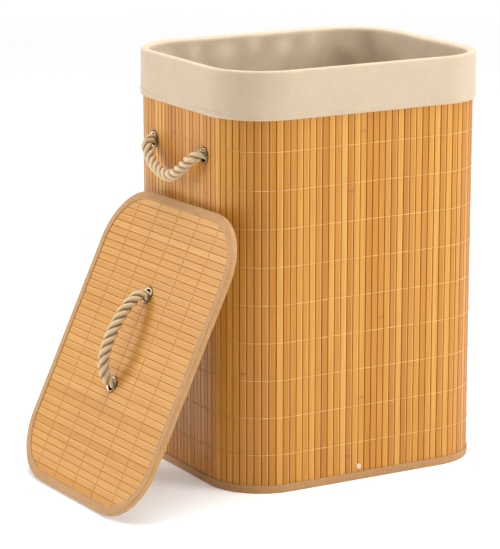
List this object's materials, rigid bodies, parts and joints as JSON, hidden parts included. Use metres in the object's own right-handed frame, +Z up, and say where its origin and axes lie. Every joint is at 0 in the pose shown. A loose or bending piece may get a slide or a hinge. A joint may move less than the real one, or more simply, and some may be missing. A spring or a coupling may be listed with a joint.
{
  "type": "laundry hamper with lid",
  "caption": "Upright laundry hamper of sewn bamboo slats with a folded cloth liner, rope handles through metal eyelets, and a loose slatted lid leaning on its short side.",
  "frame": {"origin": "middle of the hamper's base, on the floor", "axes": "+X along the wide face to the right, -Y out of the wide front face, +Z up; the lid leans on the -X side"},
  "size_m": [0.6825, 0.3895, 0.6],
  "materials": {
    "bamboo": "lacquered honey bamboo, satin",
    "backing_cloth": "plain woven cotton, glued",
    "thread": "waxed cotton sewing thread",
    "edge_tape": "woven tan twill tape",
    "board": "pressed wood-fibre board",
    "hoop_wire": "drawn steel wire",
    "liner": "plain woven cotton and linen, soft",
    "stud": "cream moulded stud",
    "eyelet_metal": "antique nickel-brass, worn bright on the rims",
    "rope": "three-strand twisted jute and cotton rope"
  },
  "bodies": {
    "hamper": {"wall_slats": "bamboo", "wall_backing": "backing_cloth", "wall_threads": "thread", "bottom_tape": "edge_tape", "top_tape": "edge_tape", "base_board": "board", "base_cloth": "backing_cloth", "top_hoop": "hoop_wire", "bottom_hoop": "hoop_wire", "liner_bag": "liner", "liner_floor": "liner", "liner_cuff": "liner", "front_stud": "stud", "front_stud_washer": "eyelet_metal", "left_eyelets": "eyelet_metal", "left_washers": "eyelet_metal", "left_rope_ends": "rope", "right_eyelets": "eyelet_metal", "right_washers": "eyelet_metal", "right_rope_ends": "rope"},
    "left_handle": {"left_handle_rope": "rope"},
    "right_handle": {"right_handle_rope": "rope"},
    "lid": {"lid_slats": "bamboo", "lid_board": "board", "lid_lining": "backing_cloth", "lid_tape": "edge_tape", "lid_threads": "thread", "lid_eyelets": "eyelet_metal", "lid_washers": "eyelet_metal", "lid_rope_ends": "rope"},
    "lid_handle": {"lid_handle_rope": "rope"}
  },
  "joints": [
    {"name": "left_handle_swing", "type": "hinge", "parent": "hamper", "child": "left_handle", "pos_m": [-0.224, 0, 0.474], "axis": [0, 1, 0], "range_deg": [-18, 150]},
    {"name": "right_handle_swing", "type": "hinge", "parent": "hamper", "child": "right_handle", "pos_m": [0.224, 0, 0.474], "axis": [0, -1, 0], "range_deg": [-50, 118]},
    {"name": "lid_lift", "type": "slide", "parent": "hamper", "child": "lid", "axis": [-0.9017, -0.0394, 0.4305], "range_m": [0, 0.3]},
    {"name": "lid_handle_swing", "type": "hinge", "parent": "lid", "child": "lid_handle", "pos_m": [-0.32245, -0.04036, 0.22055], "axis": [0.4301, 0.0188, 0.9026], "range_deg": [-80, 80]}
  ]
}
